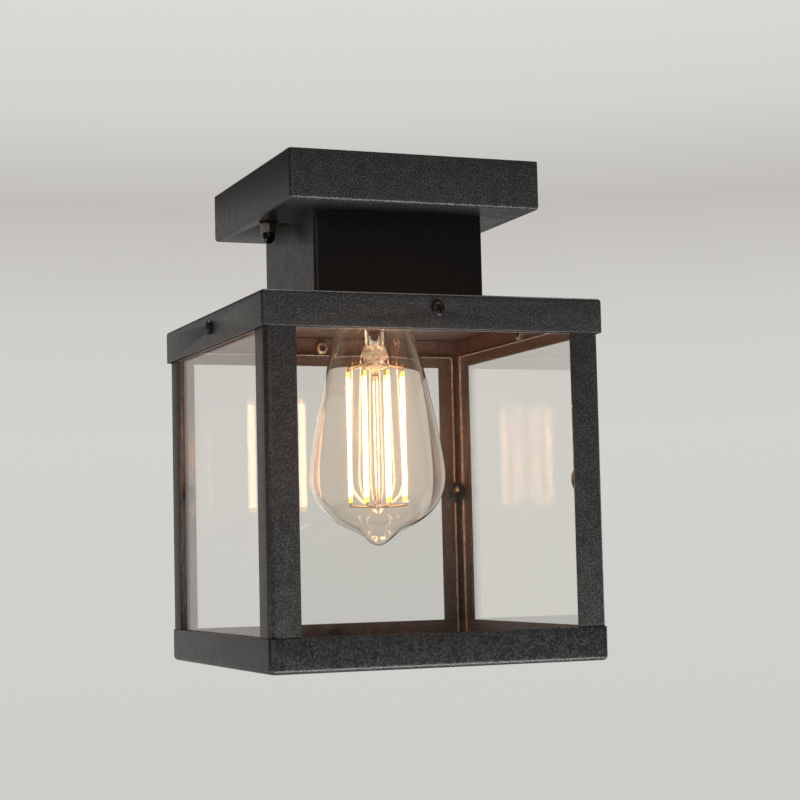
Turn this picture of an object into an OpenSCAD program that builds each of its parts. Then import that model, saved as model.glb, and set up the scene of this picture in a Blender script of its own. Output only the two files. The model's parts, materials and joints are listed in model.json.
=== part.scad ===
// Porch ceiling lantern: a square folded-steel lantern on a ceiling canopy, with an open-bottomed cage of
// angle posts, four glass panes and one large filament bulb on a screw cap.
// Millimetres. The origin is the centre of the ceiling plane, +Z is up and the lantern hangs down from it.

/* [Canopy] */
// Width of the square canopy on the ceiling
canopy_w = 120; // [116:1:150]
// Depth of the canopy
canopy_d = 22.5; // [20:0.5:32]
// Distance between the two hanger bolts
bolt_spacing = 102; // [98:1:112]
// Hole for the cable grommet in the canopy
grommet_hole_d = 14; // [11:0.5:16]

/* [Neck and roof] */
// Width of the neck, along the line of the hanger bolts
neck_w = 82.5; // [70:0.5:95]
// Depth of the neck from front to back
neck_d = 73.5; // [68:0.5:95]
// Height of the neck
neck_h = 43; // [40:0.5:52]
// Width of the flange that is folded inwards at each end of the neck
neck_flange = 10; // [6:0.5:14]
// Width of the roof tray
roof_w = 160; // [130:1:200]
// Height of the skirt round the roof tray
skirt_h = 15.5; // [13:0.5:19]
// Round hole in the roof that the bulb hangs through
roof_hole_d = 52; // [44:1:62]

/* [Cage] */
// Overall height of the lantern
total_h = 227; // [210:1:280]
// Width of each leg of a corner post
post_leg = 14; // [10:0.5:20]
// Height of the top rails
top_rail_h = 14.5; // [12:0.5:19]
// Height of the bottom rails
bottom_rail_h = 15; // [11:0.5:22]
// Width of the bottom rails' inward flange
rail_flange = 12; // [8:0.5:16]

/* [Sheet steel] */
// Thickness of the canopy, neck and roof sheet
sheet_t = 1.2; // [0.8:0.1:1.5]
// Thickness of the cage's posts and rails
angle_t = 1.5; // [1:0.1:1.7]
// Outside radius of the folds
bend_r = 2; // [1.8:0.1:2.5]

/* [Glass panes] */
// Thickness of a pane
pane_t = 3; // [2:0.5:4]
// Gap in a corner between one pane's edge and the face of the next
pane_corner_gap = 2.3; // [2.3:0.1:5]
// Diameter of the round pane clips
clip_d = 10.5; // [9:0.5:14]
// Height of the clips above the foot of the lantern
clip_height = 80.5; // [40:0.5:110]

/* [Bulb] */
// Largest diameter of the bulb
bulb_d = 64; // [58:1:80]
// Overall length of the bulb, from its contact to its tip
bulb_l = 141; // [132:1:150]
// Wall of the glass envelope
bulb_wall = 0.8; // [0.6:0.1:1.2]
// Number of filaments
filament_count = 8; // [4:1:10]
// Length of a filament
filament_l = 61; // [40:1:66]
// Diameter of a filament
filament_d = 1.9; // [1.4:0.1:2.4]
// Radius of the ring on which the filaments stand
filament_ring_r = 13.8; // [10:0.2:15]

/* [Lampholder] */
// Largest diameter of the porcelain body
holder_d = 40; // [36:0.5:46]
// Height of the porcelain body
holder_h = 37.5; // [36:0.5:39.5]
// Major diameter of the bulb's screw cap
cap_thread_d = 26.2; // [26:0.05:26.4]

/* [Fasteners] */
// Shank diameter of the skirt screws
skirt_screw_d = 3; // [2.5:0.5:4]
// Distance of the skirt screws below the top of the roof
skirt_screw_drop = 7; // [6.5:0.1:7.5]
// Shank diameter of the hanger bolts
hanger_d = 4; // [3:0.5:5]

/* [Mounting bracket] */
// Width of the bracket strap
strap_w = 22; // [18:1:30]
// Thickness of the bracket strap
strap_t = 1.5; // [1:0.1:2]
// Distance between the two ceiling slots
slot_spacing = 60; // [56:1:66]
// Length of a ceiling slot from end to end
slot_l = 12; // [8:0.5:14]
// Width of a ceiling slot
slot_w = 4.5; // [3.5:0.1:5.5]
// Hole for the supply cable
cable_hole_d = 10; // [8:0.5:12]

/* [Hidden] */
$fn = 64;
SEAT = 0.1;      // clearance between a fastener or insert and its hole, on the radius
FIT = 0.3;       // clearance between the cage and the roof skirt
PAST = 1;        // how far a cut runs past a face

Z_CANOPY = -canopy_d;
Z_ROOF = Z_CANOPY - neck_h;
Z_SKIRT = Z_ROOF - skirt_h;
Z_CAGE = Z_ROOF - sheet_t - FIT;
Z_FOOT = -total_h;
Z_POST = Z_FOOT + bottom_rail_h;
CAGE_W = roof_w - 2*sheet_t - 2*FIT;
CAGE_IN = CAGE_W/2 - angle_t;
SIDES = [0, 90, 180, 270];

// Panes stand on the bottom flange, just inside the cage
PANE_GAP = 0.2;
PANE_OUT = CAGE_IN - PANE_GAP;
PANE_IN = PANE_OUT - pane_t;
PANE_W = 2*(PANE_IN - pane_corner_gap);
Z_PANE = Z_FOOT + angle_t + PANE_GAP;
Z_PANE_TOP = Z_ROOF - skirt_screw_drop - 3.5;
PAD_SIZE = [8, 2.9];
PAD_Z = Z_POST - 4.3;

// Clips stand across the corners: their chamfered rims press on both panes' inner faces
CLIP_T = 3.4;
CLIP_EDGE = 0.4;
CLIP_FACE = PANE_IN*sqrt(2) - clip_d/2 + CLIP_EDGE - SEAT;
CLIP_STUD_D = 3;
CLIP_STUD_END = CAGE_IN*sqrt(2) - CLIP_STUD_D/2 - SEAT;
Z_CLIP = Z_FOOT + clip_height;

// Screws through the skirt, and the nuts inside
SKIRT_HEAD_D = 2.07*skirt_screw_d;
SKIRT_NUT_AF = 1.83*skirt_screw_d;
SKIRT_NUT_T = 2.4;
SKIRT_TIP = 1;
Z_SKIRT_SCREW = Z_ROOF - skirt_screw_drop;

// Bracket: a strap whose ends step down from the ceiling to clear the bolt heads
STEP = 3.5;
STRAP_L = bolt_spacing + 12;
STEP_X = bolt_spacing/2 - 10;
HANGER_NUT_AF = 1.75*hanger_d;
HANGER_NUT_T = 0.8*hanger_d;
CAP_WASHER = [9, 0.8];
CAP_HEX_H = 4.4;
CAP_NUT_H = 9.4;
Z_CAP_NUT = Z_CANOPY - CAP_WASHER[1];

// Terminal block under the strap, between the cable hole and a slot
BLOCK_X = [6.5, 20.5];
POLE_PITCH = 10.4;
POLE_W = 6.2;
BLOCK_BASE = 5;
BLOCK_H = 13;
POLE_BORE_D = 3.6;
POLE_BORE_Z = -9.2;
POLE_SCREW_D = 3;
LEAD_D = 2.2;
LEAD_SIDES = 8;
EARTH_X = -14;
LUG_T = 0.8;

// Lampholder: porcelain body under the canopy plate
Z_HOLDER = Z_CANOPY - holder_h;
HOLDER_SCREW_X = 14;
WELL_D = 20;
WELL_H = 4;
LEAD_HOLE = [3.2, 2.6];
LEAD_HOLE_Y = 3.5;
SLEEVE_T = 0.55;
THREAD_CLEAR = 0.35;
SLEEVE_IN = cap_thread_d/2 + THREAD_CLEAR;
HOLDER_BORE = SLEEVE_IN + SLEEVE_T + SEAT;
Z_CONTACT = Z_HOLDER + 27.2;
Z_CHAMBER = Z_CONTACT + 1.4;
Z_BULB_TIP = Z_CONTACT - bulb_l;

// Bulb cap, from its contact down
CONTACT_H = 1.8;
INSULATOR_H = 3.6;
Z_SHELL = Z_CONTACT - CONTACT_H - INSULATOR_H;
Z_SHELL_END = Z_CONTACT - 27.7;
SHELL_T = 0.4;
NECK_R = 11.2;
Z_BELLY = Z_BULB_TIP + 32.8;
Z_PRESS = Z_SHELL_END - 23.5;
PRESS_H = 8;
PRESS_R = 6.4;
PRESS_T = 5.6;
Z_FILAMENT = Z_PRESS - PRESS_H - 0.5;
Z_STAR = Z_FILAMENT - filament_l - 2.5;
STAR_R = 2.8;
WIRE_D = 0.8;

STEEL_BLACK = "#2b2b2d";
ZINC = "#c4c6c4";
NICKEL = "#c9c2b4";
BRASS = "#b9954c";
PORCELAIN = "#ece9e0";
GLASS = [0.82, 0.88, 0.88, 0.35];

// ---- outlines and curves ----

function along(p, angle, d) = p + d*[cos(angle), sin(angle)];

// Cubic curve from p to q, leaving p at angle a and reaching q at angle b; h and k are the two pulls
function curve(p, a, h, q, b, k, steps) = [
    for (i = [0:steps])
        let (t = i/steps, u = 1 - t)
        u*u*u*p + 3*u*u*t*along(p, a, h) + 3*u*t*t*along(q, b + 180, k) + t*t*t*q
];

function arc(centre, r, from, to, steps) = [
    for (i = [0:steps]) along(centre, from + (to - from)*i/steps, r)
];

function unit(v) = v/norm(v);

function reversed(points) = [for (i = [len(points) - 1:-1:0]) points[i]];

// The line that lies d to the right of a run of points
function beside(points, d) = [
    for (i = [0:len(points) - 1])
        let (
            last = len(points) - 1,
            way = unit(points[min(i + 1, last)] - points[max(i - 1, 0)])
        )
        points[i] + d*[way[1], -way[0]]
];

// Drops the first point of a run that repeats the last point of the run before it
function joined(a, b) = concat(a, [for (i = [1:len(b) - 1]) b[i]]);

module rounded_oblong(w, d, r) {
    union() {
        square([w - 2*r, d], center = true);
        square([w, d - 2*r], center = true);
        for (x = [-1, 1], y = [-1, 1])
            translate([x*(w/2 - r), y*(d/2 - r)]) circle(r, $fn = 48);
    }
}

module rounded_square(w, r) {
    rounded_oblong(w, w, r);
}

// Section of a folded block: flat underneath, with its two top corners rounded
module bent_section(w, h, r) {
    union() {
        translate([-w/2, 0]) square([w, h - r]);
        translate([-w/2 + r, 0]) square([w - 2*r, h]);
        for (x = [-1, 1])
            translate([x*(w/2 - r), h - r]) circle(r, $fn = 48);
    }
}

// Inside radius of a fold in a sheet of thickness t
function inner_fold(t) = max(0.2, bend_r - t);

module bent_block(w, h, r) {
    intersection() {
        linear_extrude(h) rounded_square(w, r);
        rotate([90, 0, 0]) linear_extrude(w, center = true) bent_section(w, h, r);
        rotate([90, 0, 90]) linear_extrude(w, center = true) bent_section(w, h, r);
    }
}

// Tray folded from sheet, with its open side down at z = 0
module folded_tray(w, h) {
    difference() {
        bent_block(w, h, bend_r);
        translate([0, 0, -PAST])
            bent_block(w - 2*sheet_t, h - sheet_t + PAST, inner_fold(sheet_t));
    }
}

module ring(outer_d, inner_d, h) {
    difference() {
        cylinder(d = outer_d, h = h);
        translate([0, 0, -PAST]) cylinder(d = inner_d, h = h + 2*PAST);
    }
}

// Hexagon across its flats
module hexagon(flats, h) {
    cylinder(d = flats/cos(30), h = h, $fn = 6);
}

// Nut with chamfered corners, standing up from z = 0
module hex_nut(flats, h, bore_d) {
    difference() {
        intersection() {
            hexagon(flats, h);
            rotate_extrude() polygon([
                [0, 0], [flats*0.5, 0], [flats*0.577, h*0.12],
                [flats*0.577, h*0.88], [flats*0.5, h], [0, h]
            ]);
        }
        translate([0, 0, -PAST]) cylinder(d = bore_d, h = h + 2*PAST, $fn = 48);
    }
}

// Pan head on z = 0 with a cross recess
module pan_head(d) {
    h = 0.34*d;
    difference() {
        rotate_extrude() polygon(concat([[0, 0], [d/2, 0]], curve([d/2, h*0.35], 90, h*0.35, [0, h], 180, d*0.3, 8)));
        for (turn = [0, 90])
            rotate([0, 0, turn]) translate([-d*0.28, -d*0.055, h*0.4]) cube([d*0.56, d*0.11, h]);
    }
}

// Pan-head screw: the head stands up from z = 0, the shank goes down, and its end is chamfered
module pan_screw(head_d, shank_d, l) {
    union() {
        pan_head(head_d);
        rotate_extrude() polygon([
            [0, 0], [shank_d/2, 0], [shank_d/2, 0.4 - l], [shank_d/2 - 0.4, -l], [0, -l]
        ]);
    }
}

// Smooth line through hand-picked points, four steps to a span
function point_at(p, i) = p[max(0, min(len(p) - 1, i))];
function smooth(p, steps = 4) = concat(
    [for (i = [0:len(p) - 2], s = [0:steps - 1])
        let (
            t = s/steps,
            a = point_at(p, i - 1), b = p[i], c = p[i + 1], d = point_at(p, i + 2)
        )
        0.5*((2*b) + (c - a)*t + (2*a - 5*b + 4*c - d)*t*t + (3*b - a - 3*c + d)*t*t*t)
    ],
    [p[len(p) - 1]]
);

// Frame that turns as little as it can from one ring of a tube to the next
function carried(side, way) = unit(side - (side*way)*way);
function ways(line) = [
    for (i = [0:len(line) - 1])
        unit(line[min(i + 1, len(line) - 1)] - line[max(i - 1, 0)])
];
function frame_sides(way, i = 0, found = []) = i == len(way) ? found
    : let (
        before = i == 0 ? (abs(way[0][2]) < 0.9 ? [0, 0, 1] : [1, 0, 0]) : found[i - 1],
        side = carried(before, way[i])
    ) frame_sides(way, i + 1, concat(found, [side]));

module tube_along(route, d, sides) {
    line = smooth(route);
    way = ways(line);
    side = frame_sides(way);
    rings = len(line);
    points = [
        for (i = [0:rings - 1], k = [0:sides - 1])
            let (up = cross(way[i], side[i]), turn = 360*k/sides)
            line[i] + d/2*(cos(turn)*side[i] + sin(turn)*up)
    ];
    walls = [
        for (i = [0:rings - 2], k = [0:sides - 1])
            let (a = i*sides + k, b = i*sides + (k + 1)%sides)
            each [[a, a + sides, b], [b, a + sides, b + sides]]
    ];
    start_cap = [[for (k = [0:sides - 1]) k]];
    end_cap = [[for (k = [sides - 1:-1:0]) (rings - 1)*sides + k]];
    polyhedron(points, concat(walls, start_cap, end_cap), convexity = 6);
}

// Round bar from p to q
module bar(p, q, d) {
    v = q - p;
    translate(p)
        rotate([0, acos(v[2]/norm(v)), atan2(v[1], v[0])])
            cylinder(d = d, h = norm(v), $fn = 16);
}

// ---- ceiling side ----

module strap_outline() {
    intersection() {
        square([STRAP_L, strap_w], center = true);
        union() {
            square([STRAP_L - 8, strap_w], center = true);
            square([STRAP_L, strap_w - 8], center = true);
            for (x = [-1, 1], y = [-1, 1])
                translate([x*(STRAP_L/2 - 4), y*(strap_w/2 - 4)]) circle(4);
        }
    }
}

function strap_top(side) = [
    [-side*STRAP_L/2, -STEP], [-side*(STEP_X + STEP), -STEP], [-side*STEP_X, 0]
];

module slot(l, w, h) {
    union() {
        translate([-(l - w)/2, -w/2, 0]) cube([l - w, w, h]);
        for (x = [-1, 1])
            translate([x*(l - w)/2, 0, 0]) cylinder(d = w, h = h);
    }
}

module mounting_bracket() {
    top = concat(strap_top(1), reversed(strap_top(-1)));
    color(ZINC) difference() {
        intersection() {
            rotate([90, 0, 0]) linear_extrude(strap_w, center = true)
                polygon(concat(top, [for (p = reversed(top)) p - [0, strap_t]]));
            translate([0, 0, -STEP - strap_t]) linear_extrude(STEP + strap_t) strap_outline();
        }
        translate([0, 0, -strap_t - PAST]) {
            cylinder(d = cable_hole_d, h = strap_t + 2*PAST);
            for (x = [-1, 1])
                translate([x*slot_spacing/2, 0, 0]) slot(slot_l, slot_w, strap_t + 2*PAST);
            translate([EARTH_X, 0, 0]) cylinder(d = 4 + 2*SEAT, h = strap_t + 2*PAST);
            for (y = [-0.5, 0.5])
                translate([block_mid(), y*POLE_PITCH, 0]) cylinder(d = 2.5 + 2*SEAT, h = strap_t + 2*PAST);
        }
        for (x = [-1, 1])
            translate([x*bolt_spacing/2, 0, -STEP - strap_t - PAST])
                cylinder(d = hanger_d + 2*SEAT, h = strap_t + 2*PAST);
    }
}

module hanger_bolts() {
    length = canopy_d + CAP_WASHER[1] + CAP_NUT_H - 2.6 - STEP;
    color(ZINC) for (x = [-1, 1])
        translate([x*bolt_spacing/2, 0, -STEP]) pan_screw(1.9*hanger_d, hanger_d, length);
}

module hanger_nuts() {
    color(ZINC) for (x = [-1, 1])
        translate([x*bolt_spacing/2, 0, -STEP - strap_t - HANGER_NUT_T])
            hex_nut(HANGER_NUT_AF, HANGER_NUT_T, hanger_d + 2*SEAT);
}

function block_mid() = (BLOCK_X[0] + BLOCK_X[1])/2;
function pole_y(i) = (i - 1)*POLE_PITCH;

// Three-pole block: a base under the strap and a barrel for each pole, open at both ends for the leads
module terminal_block() {
    l = BLOCK_X[1] - BLOCK_X[0];
    color("#dedbd0") difference() {
        union() {
            translate([BLOCK_X[0], -POLE_PITCH - POLE_W/2 - 1, -strap_t - BLOCK_BASE])
                cube([l, 2*POLE_PITCH + POLE_W + 2, BLOCK_BASE]);
            for (i = [0:2])
                translate([BLOCK_X[0], pole_y(i) - POLE_W/2, -strap_t - BLOCK_H])
                    cube([l, POLE_W, BLOCK_H - BLOCK_BASE/2]);
        }
        for (i = [0:2])
            translate([BLOCK_X[0] - PAST, pole_y(i), POLE_BORE_Z])
                rotate([0, 90, 0]) cylinder(d = POLE_BORE_D, h = l + 2*PAST);
        for (i = [0:2], x = [0.25, 0.75])
            translate([BLOCK_X[0] + x*l, pole_y(i), -strap_t - BLOCK_H - PAST])
                cylinder(d = POLE_SCREW_D + 2*SEAT, h = BLOCK_H + strap_t + PAST + POLE_BORE_Z);
        for (y = [-0.5, 0.5])
            translate([block_mid(), y*POLE_PITCH, -strap_t - BLOCK_BASE - PAST])
                cylinder(d = 2.5 + 2*SEAT, h = BLOCK_BASE + 2*PAST);
    }
}

// Slotted grub screws in the wells of the block, each driven down onto its lead
module terminal_screws() {
    l = BLOCK_X[1] - BLOCK_X[0];
    bottom = -strap_t - BLOCK_H + 0.8;
    top = POLE_BORE_Z - LEAD_D/2 - SEAT;
    color(BRASS) for (i = [0:2], x = [0.25, 0.75])
        translate([BLOCK_X[0] + x*l, pole_y(i), bottom]) difference() {
            cylinder(d = POLE_SCREW_D, h = top - bottom);
            translate([-POLE_SCREW_D, -0.3, -PAST]) cube([2*POLE_SCREW_D, 0.6, PAST + 0.8]);
        }
}

module block_screws() {
    color(ZINC) for (y = [-0.5, 0.5])
        translate([block_mid(), y*POLE_PITCH, -strap_t - BLOCK_BASE])
            rotate([180, 0, 0]) pan_screw(3.8, 2.5, BLOCK_BASE + strap_t);
}

module earth_screw() {
    color(BRASS) translate([EARTH_X, 0, -strap_t - LUG_T])
        rotate([180, 0, 0]) pan_screw(7.6, 4, strap_t + LUG_T);
}

// Leads: they run from the block through the grommet to the two terminals in the holder's well
LEAD_OUT = BLOCK_X[0] + 4;
Z_LEAD_END = Z_CANOPY - WELL_H - LEAD_HOLE[1] + 0.5;
LIVE_ROUTE = [
    [LEAD_OUT, -POLE_PITCH, POLE_BORE_Z], [5, -POLE_PITCH, POLE_BORE_Z], [1, -9.6, -9.8],
    [-1.6, -6.6, -12], [-1.4, -3.4, -16], [-0.6, -2.3, Z_CANOPY + 0.6], [0, -3, Z_CANOPY - 2.2],
    [0, -LEAD_HOLE_Y, Z_CANOPY - WELL_H], [0, -LEAD_HOLE_Y, Z_LEAD_END]
];
NEUTRAL_ROUTE = [for (p = LIVE_ROUTE) [p[0], -p[1], p[2]]];
EARTH_ROUTE = [
    [EARTH_X - 6, 0, -strap_t - 1.6], [EARTH_X - 10, 1, -4.4], [EARTH_X - 13, 3, -9.5], [EARTH_X - 12.4, 3.6, -14.6],
    [EARTH_X - 9.6, 2.4, Z_CANOPY + 4.2], [EARTH_X - 7, 0.4, Z_CANOPY + sheet_t + 1.6]
];

module live_lead() {
    color("#6b4428") tube_along(LIVE_ROUTE, LEAD_D, LEAD_SIDES);
}

module neutral_lead() {
    color("#2f5d9a") tube_along(NEUTRAL_ROUTE, LEAD_D, LEAD_SIDES);
}

// Ring lug lying on z = 0, with its tail along -X
module ring_lug(hole_d, tail) {
    difference() {
        union() {
            cylinder(d = hole_d + 4.4, h = LUG_T);
            translate([-tail, -1.6, 0]) cube([tail, 3.2, LUG_T]);
        }
        translate([0, 0, -PAST]) cylinder(d = hole_d, h = LUG_T + 2*PAST);
    }
}

// Earth lead from the bracket to the canopy, with a lug at each end
module earth_lead() {
    color("#7fa83a") union() {
        tube_along(EARTH_ROUTE, LEAD_D, LEAD_SIDES);
        translate([EARTH_X, 0, -strap_t - LUG_T]) ring_lug(4 + 2*SEAT, 7.5);
        translate([-HOLDER_SCREW_X, 0, Z_CANOPY + sheet_t]) ring_lug(4 + 2*SEAT, 8.5);
    }
}

module canopy() {
    color(STEEL_BLACK) difference() {
        mirror([0, 0, 1]) folded_tray(canopy_w, canopy_d);
        translate([0, 0, Z_CANOPY - PAST]) {
            for (x = [-1, 1]) {
                translate([x*bolt_spacing/2, 0, 0]) cylinder(d = hanger_d + 0.5, h = sheet_t + 2*PAST);
                translate([x*HOLDER_SCREW_X, 0, 0]) cylinder(d = 4 + 2*SEAT, h = sheet_t + 2*PAST);
            }
            cylinder(d = grommet_hole_d, h = sheet_t + 2*PAST);
        }
    }
}

// Rubber bush with a groove that grips the edge of the canopy's hole
module cable_grommet() {
    d = grommet_hole_d;
    color("#1d1d1e") translate([0, 0, Z_CANOPY]) rotate_extrude() polygon([
        [d/2 - 2.5, -1.5], [d/2 + 1.2, -1.5], [d/2 + 1.6, -1], [d/2 + 1.6, -SEAT], [d/2 - SEAT, -SEAT],
        [d/2 - SEAT, sheet_t + SEAT], [d/2 + 1.6, sheet_t + SEAT], [d/2 + 1.6, sheet_t + 1],
        [d/2 + 1.2, sheet_t + 1.5], [d/2 - 2.5, sheet_t + 1.5]
    ]);
}

module cap_washers() {
    color(STEEL_BLACK) for (x = [-1, 1])
        translate([x*bolt_spacing/2, 0, Z_CAP_NUT]) ring(CAP_WASHER[0], hanger_d + 0.4, CAP_WASHER[1]);
}

// Domed cap nuts that hold the canopy up against the ceiling
module cap_nuts() {
    dome_r = HANGER_NUT_AF*0.485;
    color(NICKEL) for (x = [-1, 1])
        translate([x*bolt_spacing/2, 0, Z_CAP_NUT]) rotate([180, 0, 0]) difference() {
            union() {
                hex_nut(HANGER_NUT_AF, CAP_HEX_H, hanger_d + 2*SEAT);
                rotate_extrude() polygon(concat(
                    [[0, CAP_HEX_H/2], [dome_r, CAP_HEX_H/2]],
                    curve([dome_r, CAP_HEX_H], 90, dome_r*0.8, [0, CAP_NUT_H], 180, dome_r*0.6, 10)
                ));
            }
            translate([0, 0, -PAST]) cylinder(d = hanger_d + 2*SEAT, h = CAP_NUT_H - 1.8 + PAST);
        }
}

// Rectangular tube with a flange folded inwards at both ends
module neck() {
    inner_w = neck_w - 2*sheet_t;
    inner_d = neck_d - 2*sheet_t;
    open_w = inner_w - 2*neck_flange;
    open_d = inner_d - 2*neck_flange;
    color(STEEL_BLACK) translate([0, 0, Z_ROOF]) difference() {
        linear_extrude(neck_h) rounded_oblong(neck_w, neck_d, bend_r);
        translate([0, 0, sheet_t]) linear_extrude(neck_h - 2*sheet_t) rounded_oblong(inner_w, inner_d, inner_fold(sheet_t));
        translate([-open_w/2, -open_d/2, -PAST]) cube([open_w, open_d, neck_h + 2*PAST]);
    }
}

// ---- lampholder ----

module holder_screws() {
    color(ZINC) for (x = [-1, 1])
        translate([x*HOLDER_SCREW_X, 0, Z_CANOPY + sheet_t + LUG_T]) pan_screw(7.2, 4, sheet_t + LUG_T + 6);
}

module holder_washer() {
    color(ZINC) translate([HOLDER_SCREW_X, 0, Z_CANOPY + sheet_t]) ring(8.4, 4 + 2*SEAT, LUG_T);
}

// Glazed porcelain body: a shouldered cup, a wire well on top and a bore for the screw sleeve
module lampholder_body() {
    r = holder_d/2;
    rim = 1.6;
    outside = concat(
        [[0, 0], [r - 5, 0]],
        curve([r - 5, 0], 0, 2.4, [r - 1.6, -5], -90, 2.6, 6),
        [[r - 1.6, -holder_h + 14]],
        curve([r - 1.6, -holder_h + 13], -90, 1.4, [r, -holder_h + 10], -90, 1.4, 4),
        arc([r - rim, -holder_h + rim], rim, 0, -90, 5),
        [[HOLDER_BORE + 1, -holder_h], [HOLDER_BORE, -holder_h + 1]],
        [[HOLDER_BORE, Z_CHAMBER - Z_CANOPY - 2], [HOLDER_BORE - 2, Z_CHAMBER - Z_CANOPY]],
        [[0, Z_CHAMBER - Z_CANOPY]]
    );
    color(PORCELAIN) translate([0, 0, Z_CANOPY]) difference() {
        rotate_extrude() polygon(outside);
        translate([0, 0, -WELL_H]) cylinder(d = WELL_D, h = WELL_H + PAST);
        for (side = [-1, 1]) {
            translate([side*HOLDER_SCREW_X, 0, -6.5]) cylinder(d = 4 + 2*SEAT, h = 6.5 + PAST);
            translate([0, side*LEAD_HOLE_Y, -WELL_H - LEAD_HOLE[1]])
                cylinder(d = LEAD_HOLE[0], h = LEAD_HOLE[1] + PAST);
        }
    }
}

// Brass screw sleeve with a collar that hooks over the porcelain's shoulder inside
module lampholder_sleeve() {
    top = Z_SHELL + 1.2;
    color(BRASS) rotate_extrude() polygon([
        [SLEEVE_IN - 3, top], [SLEEVE_IN + SLEEVE_T, top], [SLEEVE_IN + SLEEVE_T, Z_HOLDER + 1.2],
        [SLEEVE_IN, Z_HOLDER + 1.2], [SLEEVE_IN, top - SLEEVE_T], [SLEEVE_IN - 3, top - SLEEVE_T]
    ]);
}

// Springy brass tongue on the chamber's ceiling, bowed down to the bulb's contact
module lampholder_contact() {
    t = 0.5;
    bow = curve([9, Z_CHAMBER - t/2], 180, 4, [0, Z_CONTACT + FIT + t/2], 180, 4, 8);
    lift = curve([0, Z_CONTACT + FIT + t/2], 180, 2, [-4.5, Z_CONTACT + FIT + 0.6], 160, 1.5, 5);
    line = joined(bow, lift);
    color(BRASS) rotate([90, 0, 0]) linear_extrude(6, center = true)
        polygon(concat(beside(line, t/2), reversed(beside(line, -t/2))));
}

// ---- roof and cage ----

module roof_tray() {
    color(STEEL_BLACK) difference() {
        translate([0, 0, Z_SKIRT]) folded_tray(roof_w, skirt_h);
        translate([0, 0, Z_CAGE - PAST]) cylinder(d = roof_hole_d, h = sheet_t + 2*PAST, $fn = 96);
        for (turn = SIDES) skirt_hole(turn, roof_w/2 - sheet_t);
    }
}

// Clearance hole for a skirt screw, through the sheet that lies outside x = from
module skirt_hole(turn, from) {
    rotate([0, 0, turn]) translate([from - PAST, 0, Z_SKIRT_SCREW])
        rotate([0, 90, 0]) cylinder(d = skirt_screw_d + 2*SEAT, h = 2*PAST + angle_t + sheet_t);
}

module skirt_screws() {
    length = roof_w/2 - CAGE_IN + SKIRT_NUT_T + SKIRT_TIP;
    color(STEEL_BLACK) for (turn = SIDES)
        rotate([0, 0, turn]) translate([roof_w/2, 0, Z_SKIRT_SCREW])
            rotate([0, 90, 0]) rotate([0, 0, 20]) pan_screw(SKIRT_HEAD_D, skirt_screw_d, length);
}

module skirt_nuts() {
    color(NICKEL) for (turn = SIDES)
        rotate([0, 0, turn]) translate([CAGE_IN - SKIRT_NUT_T, 0, Z_SKIRT_SCREW])
            rotate([0, 90, 0]) hex_nut(SKIRT_NUT_AF, SKIRT_NUT_T, skirt_screw_d + 2*SEAT);
}

// Upright prism of the cage's outline, with the folded posts' corner radius
module cage_block(low, high) {
    translate([0, 0, low]) linear_extrude(high - low) rounded_square(CAGE_W, bend_r);
}

// Angle post in the corner where x and y are both positive
module corner_post() {
    inner_r = inner_fold(angle_t);
    color(STEEL_BLACK) difference() {
        intersection() {
            cage_block(Z_POST, Z_CAGE);
            translate([CAGE_W/2 - post_leg, CAGE_W/2 - post_leg, Z_POST])
                cube([post_leg + PAST, post_leg + PAST, Z_CAGE - Z_POST]);
        }
        translate([0, 0, Z_POST - PAST])
            linear_extrude(Z_CAGE - Z_POST + 2*PAST) rounded_square(2*CAGE_IN, inner_r);
    }
}

// Flat rail between two posts, at +X
module top_rail() {
    l = CAGE_W - 2*post_leg;
    color(STEEL_BLACK) difference() {
        translate([CAGE_IN, -l/2, Z_CAGE - top_rail_h]) cube([angle_t, l, top_rail_h]);
        skirt_hole(0, CAGE_IN);
    }
}

// Angle rail at +X: a wall with a rounded lower bend and an inward flange, mitred at both ends
module bottom_rail() {
    out = CAGE_W/2;
    inner_r = inner_fold(angle_t);
    mitre = out + PAST;
    section = concat(
        [[out - rail_flange, 0]],
        arc([out - bend_r, bend_r], bend_r, -90, 0, 8),
        [[out, bottom_rail_h], [CAGE_IN, bottom_rail_h]],
        arc([CAGE_IN - inner_r, angle_t + inner_r], inner_r, 0, -90, 4),
        [[out - rail_flange, angle_t]]
    );
    color(STEEL_BLACK) intersection() {
        translate([0, 0, Z_FOOT]) rotate([90, 0, 0]) linear_extrude(CAGE_W, center = true) polygon(section);
        cage_block(Z_FOOT, Z_POST);
        translate([0, 0, Z_FOOT - PAST]) linear_extrude(bottom_rail_h + 2*PAST)
            polygon([[0, 0], [mitre, -mitre], [mitre, mitre]]);
    }
}

// Pane at +X with its corners slightly rounded
module pane() {
    h = Z_PANE_TOP - Z_PANE;
    r = 1.5;
    color(GLASS) translate([PANE_OUT - pane_t, 0, Z_PANE]) rotate([90, 0, 90]) linear_extrude(pane_t) union() {
        translate([-PANE_W/2 + r, 0]) square([PANE_W - 2*r, h]);
        translate([-PANE_W/2, r]) square([PANE_W, h - 2*r]);
        for (x = [-1, 1], z = [r, h - r])
            translate([x*(PANE_W/2 - r), z]) circle(r, $fn = 32);
    }
}

module clip_studs() {
    color(ZINC) for (turn = SIDES)
        rotate([0, 0, turn + 45]) translate([CLIP_FACE - CLIP_T + 1, 0, Z_CLIP])
            rotate([0, 90, 0]) cylinder(d = CLIP_STUD_D, h = CLIP_STUD_END - CLIP_FACE + CLIP_T - 1);
}

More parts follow.
